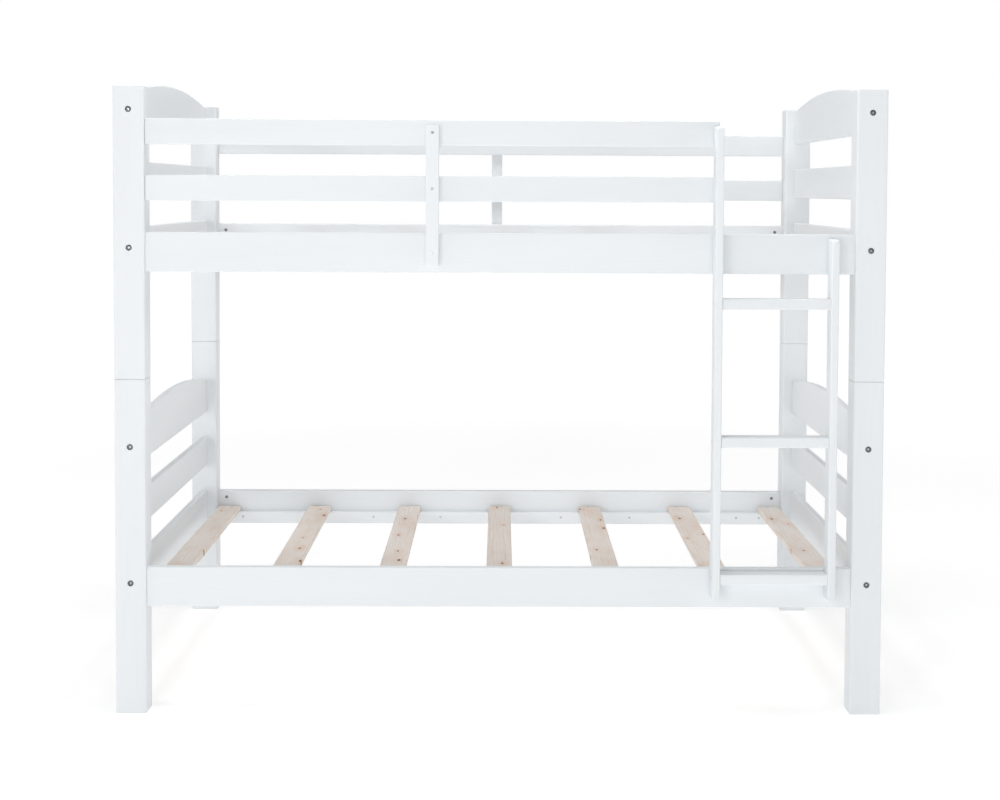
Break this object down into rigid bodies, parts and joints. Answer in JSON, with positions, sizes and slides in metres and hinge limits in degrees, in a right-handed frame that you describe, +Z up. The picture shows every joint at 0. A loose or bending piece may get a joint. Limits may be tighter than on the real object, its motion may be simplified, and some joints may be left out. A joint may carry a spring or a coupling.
{
  "type": "bunk bed with ladder",
  "caption": "White painted wooden bunk bed: two single slatted beds stacked on pins, with arched end boards, upper guard rails and a straight ladder at the front right.",
  "frame": {"origin": "centre of the footprint on the floor, over the whole object with its ladder and rear batten", "axes": "+X along the bed towards the ladder's end, +Y from the ladder side to the back, +Z up"},
  "size_m": [2.074, 1.1206, 1.725],
  "materials": {
    "white_painted_pine": "satin white paint over pine, edges eased",
    "bare_pine": "planed pine with no finish, knots and straight grain",
    "hardwood_dowel": "turned beech dowel with no finish",
    "zinc_plated_steel": "zinc plated bolts, barrel nuts and screws"
  },
  "bodies": {
    "lower_bed": {"lower_post_front_left": "white_painted_pine", "post_pin_front_left": "hardwood_dowel", "lower_post_rear_left": "white_painted_pine", "post_pin_rear_left": "hardwood_dowel", "lower_post_front_right": "white_painted_pine", "post_pin_front_right": "hardwood_dowel", "lower_post_rear_right": "white_painted_pine", "post_pin_rear_right": "hardwood_dowel", "lower_end_rail_left": "white_painted_pine", "lower_mid_slat_left": "white_painted_pine", "lower_arched_board_left": "white_painted_pine", "lower_end_rail_right": "white_painted_pine", "lower_mid_slat_right": "white_painted_pine", "lower_arched_board_right": "white_painted_pine", "lower_side_rail_front": "white_painted_pine", "lower_cleat_front": "white_painted_pine", "lower_side_rail_rear": "white_painted_pine", "lower_cleat_rear": "white_painted_pine", "lower_slat_1": "bare_pine", "lower_slat_2": "bare_pine", "lower_slat_3": "bare_pine", "lower_slat_4": "bare_pine", "lower_slat_5": "bare_pine", "lower_slat_6": "bare_pine", "lower_slat_7": "bare_pine"},
    "upper_bed": {"upper_post_front_left": "white_painted_pine", "upper_post_rear_left": "white_painted_pine", "upper_post_front_right": "white_painted_pine", "upper_post_rear_right": "white_painted_pine", "upper_end_rail_left": "white_painted_pine", "upper_mid_slat_left": "white_painted_pine", "upper_arched_board_left": "white_painted_pine", "upper_end_rail_right": "white_painted_pine", "upper_mid_slat_right": "white_painted_pine", "upper_arched_board_right": "white_painted_pine", "upper_side_rail_front": "white_painted_pine", "upper_cleat_front": "white_painted_pine", "upper_side_rail_rear": "white_painted_pine", "upper_cleat_rear": "white_painted_pine", "upper_slat_1": "bare_pine", "upper_slat_2": "bare_pine", "upper_slat_3": "bare_pine", "upper_slat_4": "bare_pine", "upper_slat_5": "bare_pine", "upper_slat_6": "bare_pine", "upper_slat_7": "bare_pine", "guard_rail_middle_front": "white_painted_pine", "guard_rail_top_front": "white_painted_pine", "guard_batten_front": "white_painted_pine", "guard_rail_middle_rear": "white_painted_pine", "guard_rail_top_rear": "white_painted_pine", "guard_batten_rear": "white_painted_pine", "ladder_stile_left": "white_painted_pine", "ladder_stile_right": "white_painted_pine", "ladder_rung_bottom": "white_painted_pine", "ladder_rung_middle": "white_painted_pine", "ladder_rung_top": "white_painted_pine"}
  },
  "joints": [
    {"name": "upper_bed_lift", "type": "slide", "parent": "lower_bed", "child": "upper_bed", "axis": [0, 0, 1], "range_m": [0, 0.15]}
  ]
}
